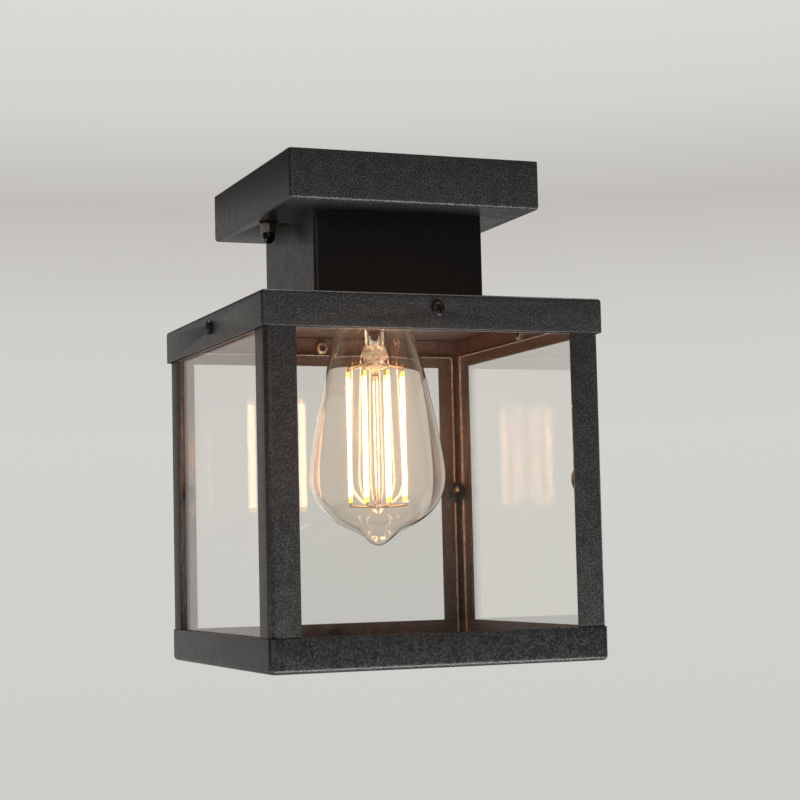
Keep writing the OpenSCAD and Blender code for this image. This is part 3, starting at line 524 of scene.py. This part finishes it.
def corner_post(angle):
    """An angle post: two walls about a folded corner."""
    half, middle = CAGE_W / 2, CAGE_W / 2 - POST_FOLD
    bm = bmesh.new()
    corner = [pull((middle, middle), a, POST_FOLD) for a in range(0, 91, 10)]
    line = [(half, half - POST_LEG)] + corner + [(half - POST_LEG, half)]
    low = [bm.verts.new((x, y, Z_POST)) for x, y in line]
    edges = [bm.edges.new(pair) for pair in zip(low, low[1:])]
    raised = bmesh.ops.extrude_edge_only(bm, edges=edges)["geom"]
    raised = [v for v in raised if isinstance(v, bmesh.types.BMVert)]
    bmesh.ops.translate(bm, vec=(0, 0, Z_CAGE - Z_POST), verts=raised)
    bmesh.ops.recalc_face_normals(bm, faces=bm.faces)
    if bm.faces[0].normal.x + bm.faces[0].normal.y < 0:
        bmesh.ops.reverse_faces(bm, faces=bm.faces)
    return placed(bm, turned(angle))


for name, angle in (("back_right", 0), ("back_left", 90), ("front_left", 180), ("front_right", 270)):
    solid(
        "corner_post_" + name, corner_post(angle), "lantern", BLACK, "post_" + name,
        modifiers=[wall(ANGLE), RIM])


def block(x, y, z, low):
    """A block of that size whose lowest corner is at low."""
    bm = bmesh.new()
    bmesh.ops.create_cube(bm, size=1)
    return placed(bm, Matrix.Diagonal((x, y, z, 1)), shifted(low[0] + x / 2, low[1] + y / 2, low[2] + z / 2))


for name, angle in (("right", 0), ("back", 90), ("left", 180), ("front", 270)):
    length = CAGE_W - 2 * POST_LEG
    rail = placed(block(ANGLE, length, TOP_RAIL_H, (CAGE_IN, -length / 2, Z_CAGE - TOP_RAIL_H)), turned(angle))
    screw_way = cutter(skirt_hole(angle, CAGE_IN - 2, CAGE_W / 2 + 2))
    solid(
        "upper_rail_" + name, rail, "lantern", BLACK, "top_rail_" + name,
        modifiers=[holes(screw_way), RIM])

    # Pane: float glass with a narrow ground arris round both faces
    pane = block(PANE_T, PANE_W, Z_PANE_TOP - Z_PANE, (PANE_OUT - PANE_T, -PANE_W / 2, Z_PANE))
    corners = [e for e in pane.edges if abs(e.verts[0].co.x - e.verts[1].co.x) > 1]
    bmesh.ops.bevel(pane, geom=corners, offset=1.5, affect="EDGES", segments=5, profile=0.5, material=-1)
    arris = [e for e in pane.edges if e.calc_face_angle(0) > 1]
    bmesh.ops.bevel(pane, geom=arris, offset=0.25, affect="EDGES", segments=1, profile=0.5, material=-1)
    for face in pane.faces:
        face.material_index = 0 if abs(face.normal.x) > 0.95 else 1
    solid(
        "glass_pane_" + name, placed(pane, turned(angle)), "lantern", [PANE, EDGE], "pane_" + name,
        sharp=20)


# ---------------------------------------------------------------- fasteners


def hexagon(flats, h, bore=0):
    """A hexagon nut that stands on z = 0, with its corners chamfered on both faces."""
    corner = flats / math.cos(math.radians(30)) / 2
    bm = bmesh.new()
    bmesh.ops.create_cone(bm, cap_ends=True, segments=6, radius1=corner, radius2=corner, depth=h)
    placed(bm, shifted(0, 0, h / 2))
    crown = flats * 0.47
    barrel = spun([
        (0, -0.1), (crown, -0.1), (corner + 0.1, h * 0.13), (corner + 0.1, h * 0.87), (crown, h + 0.1), (0, h + 0.1)],
        64, closed=False)
    bm = carved(bm, "INTERSECT", barrel)
    return carved(bm, "DIFFERENCE", rod(bore, -1, h + 1, 40)) if bore else bm


def pan_screw(head_d, head_h, shank_d, length, slot=0.8):
    """A pan-head screw with a cross recess. Its head stands on z = 0 and its shank hangs down."""
    r = head_d / 2
    profile = [(0, head_h)] + curve((0, head_h), 0, r * 0.75, (r, head_h * 0.28), -90, head_h * 0.45, 12)[1:]
    shank = shank_d / 2
    profile += [(r - 0.12, 0), (shank, 0), (shank, 0.4 - length), (shank - 0.4, -length), (0, -length)]
    bm = spun(profile, 48, closed=False)
    arm = head_d * 0.62
    for turn in (0, 90):
        recess = block(arm, slot, head_h, (-arm / 2, -slot / 2, head_h * 0.35))
        bm = carved(bm, "DIFFERENCE", placed(recess, turned(turn)))
    return bm


# Acorn nuts under the canopy: a bright plated hexagon, and over it a black enamelled dome with a step at its foot
DOME_R, HEX_H, NUT_H, Z_WASHER = 3.4, 4.4, 9.4, -23.3
dome = [(0, HEX_H - 0.5), (DOME_R, HEX_H - 0.5), (DOME_R, HEX_H + 0.25), (DOME_R - 0.3, HEX_H + 0.55)]
dome += curve((DOME_R - 0.3, HEX_H + 0.55), 90, 2.4, (0, NUT_H), 180, 2.0, 14)[1:]
acorn = joined(tinted(hexagon(7, HEX_H), 0), tinted(spun(dome, 64, closed=False), 1))
solid("acorn_nuts", repeated(acorn, [
    shifted(x * BOLT_X, 0, Z_WASHER) @ turned(180, "X") @ turned(12) for x in (-1, 1)]),
    "lantern", [NUT, LACQUER], "cap_nuts")

skirt_screw = pan_screw(6.21, 2.1, 3, 6.4)
solid("cross_recess_screws", repeated(skirt_screw, [
    turned(a) @ shifted(ROOF_W / 2, 0, Z_SCREW) @ turned(90, "Y") @ turned(20) for a in QUARTERS]),
    "lantern", BLACK_ZINC, "skirt_screws")
solid("cage_nuts", repeated(hexagon(5.49, 2.4, 3.05), [
    turned(a) @ shifted(CAGE_IN, 0, Z_SCREW) @ turned(-90, "Y") for a in QUARTERS]),
    "lantern", NUT, "skirt_nuts")

# ---------------------------------------------------------------- bulb


def envelope():
    """Half outline of the blown envelope, from inside the cap down to the tip."""
    neck_top, neck_end = (NECK_R, Z_SHELL_END + 7), (NECK_R + 0.3, Z_SHELL_END)
    flank, belly = (18.2, Z_SHELL_END - 10.9), (32.0, Z_BELLY)
    shoulder, nipple, tip = (14.4, Z_TIP + 8.2), (7.2, Z_TIP + 3.9), (0.0, Z_TIP)
    line = [neck_top]
    line += curve(neck_end, -68, 3.6, flank, -75, 4.5, 10)
    line += curve(flank, -75, 20, belly, -90, 10, 26)[1:]
    line += curve(belly, -90, 13, shoulder, -156, 10, 20)[1:]
    line += curve(shoulder, -156, 4, nipple, -137, 2.5, 8)[1:]
    line += curve(nipple, -137, 3.2, tip, -180, 2.6, 10)[1:]
    return line


shell = facing(spun(envelope(), 128, closed=False))
solid("bulb_envelope", shell, "bulb", BLOWN, "bulb_glass", sharp=80, modifiers=[wall(GLASS_T)])


# Stem: a flared tube sealed into the neck, pinched into two lumps round the lead-in wires, with a rod and bead below
seal = NECK_R - GLASS_T - 0.1
flare = curve((seal, Z_SHELL_END + 6.4), -90, 1, (seal - 0.3, Z_SHELL_END + 5), -100, 1, 4)
flare += curve((seal - 0.3, Z_SHELL_END + 5), -125, 5, (5.3, Z_SHELL_END - 5), -90, 6, 16)[1:]
pinch = [
    (5.3, -80.0), (5.5, -81.4), (6.1, -82.6), (6.4, -83.9), (6.1, -85.2), (5.3, -86.2), (5.0, -87.0), (5.4, -87.9),
    (5.6, -88.9), (5.2, -90.1), (3.9, -91.1), (2.2, -91.8), (1.4, -92.6), (1.3, -94.0), (1.3, Z_STAR + 2.6)]
BEAD_R = 2.8
bead = [
    (BEAD_R * math.sin(math.radians(a)), Z_STAR + BEAD_R * math.cos(math.radians(a))) for a in range(30, 180, 15)]
inner = [(0.0, -82.0), (3.2, -81.6), (4.3, -79.8)] + [(r - 0.9, z + 0.3) for r, z in reversed(flare)]
stem = facing(spun(flare + pinch + bead + [(0, Z_STAR - BEAD_R)], 64, closed=False))
lining = facing(spun(inner, 64, closed=False), outward=False)
for vert in stem.verts:
    if Z_PINCH_END < vert.co.z < Z_PINCH:  # flattened a little by the pincers, and lumpy
        fade = min(1, (Z_PINCH - vert.co.z) / 2, vert.co.z - Z_PINCH_END)
        angle = math.atan2(vert.co.y, vert.co.x)
        lump = 1 + fade * 0.05 * (math.sin(3 * angle + vert.co.z * 1.3) + math.sin(5 * angle - vert.co.z * 2.1))
        vert.co.x *= lump
        vert.co.y *= lump * (1 - 0.22 * fade)
for face in stem.faces:
    face.material_index = 1 if Z_PINCH_END - 0.5 < face.calc_center_median().z < Z_PINCH else 0
solid("glass_stem", joined(stem, lining), "bulb", [DRAWN, STEM], "bulb_stem", sharp=80)


def threaded(r, depth, low, high, pitch, steps=96, rows=14, fade=0.6):
    """An open tube with a rounded right-hand thread that runs out at both ends."""
    count = round((high - low) / pitch * rows)
    bm = spun([(r, low + (high - low) * j / count) for j in range(count + 1)], steps, closed=False)
    for vert in bm.verts:
        x, y, z = vert.co
        ramp = max(0, min(1, (z - low) / pitch / fade, (high - z) / pitch / fade))
        wave = 0.5 + 0.5 * math.cos(2 * math.pi * z / pitch - math.atan2(y, x))
        vert.co.x, vert.co.y = (v * (1 - depth / r * (1 - wave * ramp)) for v in (x, y))
    return bm


# Screw cap: rolled thread, drawn in at the top round the black glass
shoulder = curve((10.2, Z_SHELL), -20, 1, (THREAD_R - THREAD_DEPTH, Z_SHELL - SHOULDER_H), -80, 0.8, 8)
cap_top = spun([(8.4, Z_SHELL)] + shoulder, 96, closed=False)
cap_wall = threaded(THREAD_R, THREAD_DEPTH, Z_SHELL_END + HEM_H, Z_SHELL - SHOULDER_H, THREAD_PITCH)
cap_hem = spun([
    (THREAD_R - THREAD_DEPTH, Z_SHELL_END + HEM_H), (THREAD_R - 0.8, Z_SHELL_END + 2.7),
    (THREAD_R - 0.25, Z_SHELL_END + 2.1), (THREAD_R, Z_SHELL_END + 1.4), (THREAD_R, Z_SHELL_END)], 96, closed=False)
cap = joined(cap_top, cap_wall, cap_hem)
bmesh.ops.remove_doubles(cap, verts=cap.verts, dist=0.001)
bmesh.ops.recalc_face_normals(cap, faces=cap.faces)
solid("screw_cap", facing(cap), "bulb", NICKEL, "bulb_shell", sharp=50, modifiers=[wall(0.35)])


def on_ring(i, r, z):
    """The place of one filament at a radius and a height."""
    turn = math.radians(360 * i / FILAMENTS + FIRST_TURN)
    return Vector((r * math.cos(turn), r * math.sin(turn), z))


low_z, high_z = Z_FILAMENT - FILAMENT_L, Z_FILAMENT
outline = curve((0.4, low_z), 0, 0.3, (FILAMENT_R, low_z + 0.6), 90, 0.3, 4)
outline += curve((FILAMENT_R, high_z - 0.6), 90, 0.3, (0.4, high_z), 180, 0.3, 4)
rods = [
    placed(spun([(0, low_z)] + outline + [(0, high_z)], 20, closed=False), shifted(*on_ring(i, RING_R, 0)))
    for i in range(FILAMENTS)]
solid("glowing_filaments", joined(*rods), "bulb", PHOSPHOR, "filaments")

# ---------------------------------------------------------------- internal leads


def tube(route, r, steps=20, rows=8):
    """A round lead along a smooth curve through the route's points, capped at both ends."""
    points = [Vector(p) for p in route]
    ends = [points[0] * 2 - points[1]] + points + [points[-1] * 2 - points[-2]]
    line = []
    for i in range(1, len(ends) - 2):
        a, b, c, d = ends[i - 1:i + 3]
        for j in range(rows):
            t = j / rows
            second, third = 2 * a - 5 * b + 4 * c - d, 3 * b - a - 3 * c + d
            line.append(0.5 * (2 * b + (c - a) * t + second * t * t + third * t * t * t))
    line.append(points[-1])
    bm, rings = bmesh.new(), []
    side = (line[1] - line[0]).orthogonal()
    for i, here in enumerate(line):
        ahead = (line[min(i + 1, len(line) - 1)] - line[max(i - 1, 0)]).normalized()
        side = (side - ahead * side.dot(ahead)).normalized()
        stand = Matrix.Translation(here) @ Matrix((side, ahead.cross(side), ahead)).transposed().to_4x4()
        ring = bmesh.ops.create_circle(
            bm, cap_ends=i in (0, len(line) - 1), radius=r, segments=steps, matrix=stand)
        rings.append({edge for vert in ring["verts"] for edge in vert.link_edges})
    for a, b in zip(rings, rings[1:]):
        bmesh.ops.bridge_loops(bm, edges=list(a | b))
    bmesh.ops.recalc_face_normals(bm, faces=bm.faces)
    return bm


# From the block through the grommet to the terminals in the holder's well, and from the strap to the canopy
LEAD = [
    (10.5, -10.4, -9.2), (5, -10.4, -9.2), (1, -9.6, -9.8), (-1.6, -6.6, -12), (-1.4, -3.4, -16), (-0.6, -2.3, -21.9),
    (0, -3, -24.7), (0, -3.5, -26.5), (0, -3.5, -28.6)]
LEAD_ACROSS = [(x, -y, z) for x, y, z in LEAD]
EARTH_LEAD = [
    (-20, 0, -3.1), (-24, 1, -4.4), (-27, 3, -9.5), (-26.4, 3.6, -14.6), (-23.6, 2.4, -18.3), (-21, 0.4, -19.7)]
solid("live_lead_sleeved", tube(LEAD, LEAD_R), "lantern", BROWN, "live_lead", sharp=60)
solid("neutral_lead_sleeved", tube(LEAD_ACROSS, LEAD_R), "lantern", BLUE, "neutral_lead", sharp=60)


def ring_lug(length):
    """A pressed ring tongue: a flat ring, and a barrel that grips the lead on its -X side."""
    tongue = joined(rod(LUG_D, -LUG_T / 2, LUG_T / 2, 48), block(length, 3.2, LUG_T, (-length, -1.6, -LUG_T / 2)))
    ring = carved(tongue, "DIFFERENCE", rod(HOLDER_SCREW_HOLE, -1, 1, 40))
    barrel = placed(rod(3.4, 0, BARREL_L, 32), turned(-90, "Y"), shifted(BARREL_L - length, 0, 0.9))
    return joined(ring, barrel)


lead = tinted(tube(EARTH_LEAD, LEAD_R), 0)
lugs = [placed(ring_lug(length), shifted(-HOLDER_SCREW_X, 0, z)) for length, z in ((7.5, -2.3), (8.5, -21.3))]
lugs = tinted(joined(*lugs), 1)
solid("earth_lead_sleeved", joined(lead, lugs), "lantern", [GREEN, TINNED], "earth_lead", sharp=40)

# ---------------------------------------------------------------- CAD nodes that keep their shape

KEPT = {
    "neck": BLACK, "mounting_bracket": ZINC, "hanger_bolts": ZINC, "hanger_nuts": ZINC, "terminal_block": BLOCK,
    "terminal_screws": BRASS, "block_screws": ZINC, "earth_screw": BRASS,
    "cable_grommet": RUBBER, "cap_washers": BLACK_ZINC, "holder_screws": ZINC,
    "holder_washer": ZINC, "lampholder_body": PORCELAIN, "lampholder_sleeve": BRASS, "lampholder_contact": BRASS,
    "clip_studs": ZINC, "pane_clips": CLIP, "pane_pad": PAD,
    "bulb_contact": SOLDER, "bulb_insulator": VITRITE,
    "bulb_lead_wires": WIRE, "filament_hangers": WIRE, "filament_star": WIRE,
}
for name, finish in KEPT.items():
    if not nodes[name].hide_render:
        for place in nodes[name].material_slots:
            place.material = finish

for left in [o for o in bpy.data.objects if o.name.startswith("cutter")]:
    bpy.data.objects.remove(left)

# ---------------------------------------------------------------- studio


def stage_piece(name, bm, finish):
    """A piece of the studio, drawn in metres."""
    for face in bm.faces:
        face.smooth = True
    mesh = bpy.data.meshes.new(name)
    bm.to_mesh(mesh)
    bm.free()
    made = bpy.data.objects.new(name, mesh)
    bpy.context.scene.collection.objects.link(made)
    mesh.materials.append(finish)
    return made


def pale_sweep():
    """Matt pale paper for the floor and the wall that it curves up into. It shines by itself, and less brightly where
    glass shows it in a reflection, least on the camera's side of the room."""
    made, tree, out = finish_named("pale_paper_sweep")
    where = add(tree, "SeparateXYZ", {"Vector": place_in(tree)}).outputs
    # Painted shadow: the ramp darkens to #c1beba in a soft band about 0.44 m up, standing for the lantern's shadow on
    # a ceiling and drawn round the whole room
    colour = toned(
        tree, ranged(tree, where["Z"], -0.6, 0.8, 0.0, 1.0),
        (0.0, "#cfcecb"), (0.45, "#d3d2ce"), (0.6, "#d0ceca"), (0.74, "#c1beba"), (0.86, "#d3d2ce"),
        (0.98, "#dad9d5"))
    room = ranged(tree, where["Y"], -1.2, 0.2, 0.08, 0.8)
    depth = add(tree, "LightPath", {}).outputs["Glossy Depth"]
    paper = add(tree, "Emission", {"Color": colour, "Strength": ranged(tree, depth, 0.0, 1.0, 1.0, room)})
    tree.links.new(paper.outputs[0], out.inputs["Surface"])
    return made


# Outline in metres: the floor, the curve up from it, the wall and the ceiling
Z_FLOOR, Z_WALL, ROOM_R, FLOOR_R = -1.25, -0.45, 2.4, 1.6
bend = curve((FLOOR_R, Z_FLOOR), 0, 0.45, (ROOM_R, Z_WALL), 90, 0.45, 16)
room_line = [(0.0, Z_FLOOR)] + bend + [(ROOM_R, 2.5), (0.0, 3.2)]
sweep = stage_piece("studio_sweep", spun(room_line, 96, closed=False), pale_sweep())
sweep.visible_diffuse = sweep.visible_glossy = sweep.visible_shadow = False


def lamp(name, place, aim, watts, colour, size, unseen_by=("camera", "transmission")):
    """A rectangular area lamp. Rays of the kinds named in unseen_by pass it by, and it still lights what is matt."""
    made = bpy.data.objects.new(name, bpy.data.lights.new(name, "AREA"))
    bpy.context.scene.collection.objects.link(made)
    made.data.energy = watts
    made.data.color = srgb(colour)[:3]
    made.data.shape = "RECTANGLE"
    made.data.size, made.data.size_y = size
    made.location = place
    made.rotation_euler = (Vector(aim) - Vector(place)).to_track_quat("-Z", "Y").to_euler()
    for kind in unseen_by:
        setattr(made, "visible_" + kind, False)
    return made


CAGE, BODY = (0, 0, -0.14), (0, 0, -0.1)
ALL_BUT_MATT = ("camera", "transmission", "glossy")
lamp("wall_panel", (-0.5, 2.2, -0.3), (-0.1, 0, -0.14), 7.6, "#fffaf4", (3.6, 1.6), unseen_by=())
lamp("softbox_left", (-2.4, 0.3, -2.0), CAGE, 22, "#fffaf4", (1.6, 1.6))
# The low softbox is matt light only: seen in the coat, it would turn the front faces silver from above
lamp("softbox_low", (0.5, -1.9, -2.6), BODY, 168, "#fffefb", (2.5, 1.1), unseen_by=ALL_BUT_MATT)
# The bright line along the canopy's and the foot's lower folds
lamp("fold_light", (0.7, -1.2, -1.9), BODY, 34, "#fffefb", (1.5, 0.35))
lamp("front_fill", (-1.2, -2.2, 0.5), BODY, 4, "#fffdf8", (1.0, 1.0))
lamp("softbox_top", (0.4, 0.7, 2.3), (0, 0, 0), 46, "#ffffff", (1.8, 1.8))
lamp("softbox_right", (2.6, 1.5, -0.7), BODY, 16, "#ffffff", (1.4, 1.4))

# The lit filaments' own light: it goes out sideways, as from upright rods, and little of it up or down
filament_middle = Vector((0, 0, -0.123))
for turn in QUARTERS:
    way = Vector((math.cos(math.radians(turn)), math.sin(math.radians(turn)), 0))
    glow = lamp(
        "bulb_glow_%d" % turn, filament_middle + way * 0.004, filament_middle + way, 0.26, "#ff8028", (0.01, 0.034),
        unseen_by=ALL_BUT_MATT)
    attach(glow, "bulb")

world = bpy.data.worlds.new("soft_studio")
bpy.context.scene.world = world
world.use_nodes = True
sky = world.node_tree
sky.nodes.clear()
sky_out = sky.nodes.new("ShaderNodeOutputWorld")
base = add(sky, "Background", {"Color": srgb("#e6e5e2"), "Strength": 0.1})
sky.links.new(base.outputs[0], sky_out.inputs["Surface"])

camera = bpy.data.objects.new("camera", bpy.data.cameras.new("camera"))
bpy.context.scene.collection.objects.link(camera)
bpy.context.scene.camera = camera
# Fitted to the straight edges in the photograph
camera.data.sensor_width = 36
camera.data.lens = 85.4057
stand = Matrix.Translation((-0.3163127, -0.8349397, -0.1792411))
right, up = (0.9308025, -0.3647785, -0.0233108), (-0.0084316, -0.0851841, 0.9963296)
back = (-0.3654252, -0.9271895, -0.0823652)
camera.matrix_world = stand @ Matrix((right, up, back)).transposed().to_4x4()
camera.data.clip_start, camera.data.clip_end = 0.01, 20

# A faint bloom, as a lens gives round lit filaments
picture = bpy.context.scene
picture.use_nodes = True
lens = picture.node_tree
lens.nodes.clear()
layers = lens.nodes.new("CompositorNodeRLayers")
bloom = lens.nodes.new("CompositorNodeGlare")
bloom.glare_type = "BLOOM"
bloom.inputs["Threshold"].default_value = 1.2
bloom.inputs["Strength"].default_value = 0.18
bloom.inputs["Size"].default_value = 0.36
shown = lens.nodes.new("CompositorNodeComposite")
lens.links.new(layers.outputs["Image"], bloom.inputs["Image"])
lens.links.new(bloom.outputs["Image"], shown.inputs["Image"])

bpy.context.scene.view_settings.view_transform = "Standard"
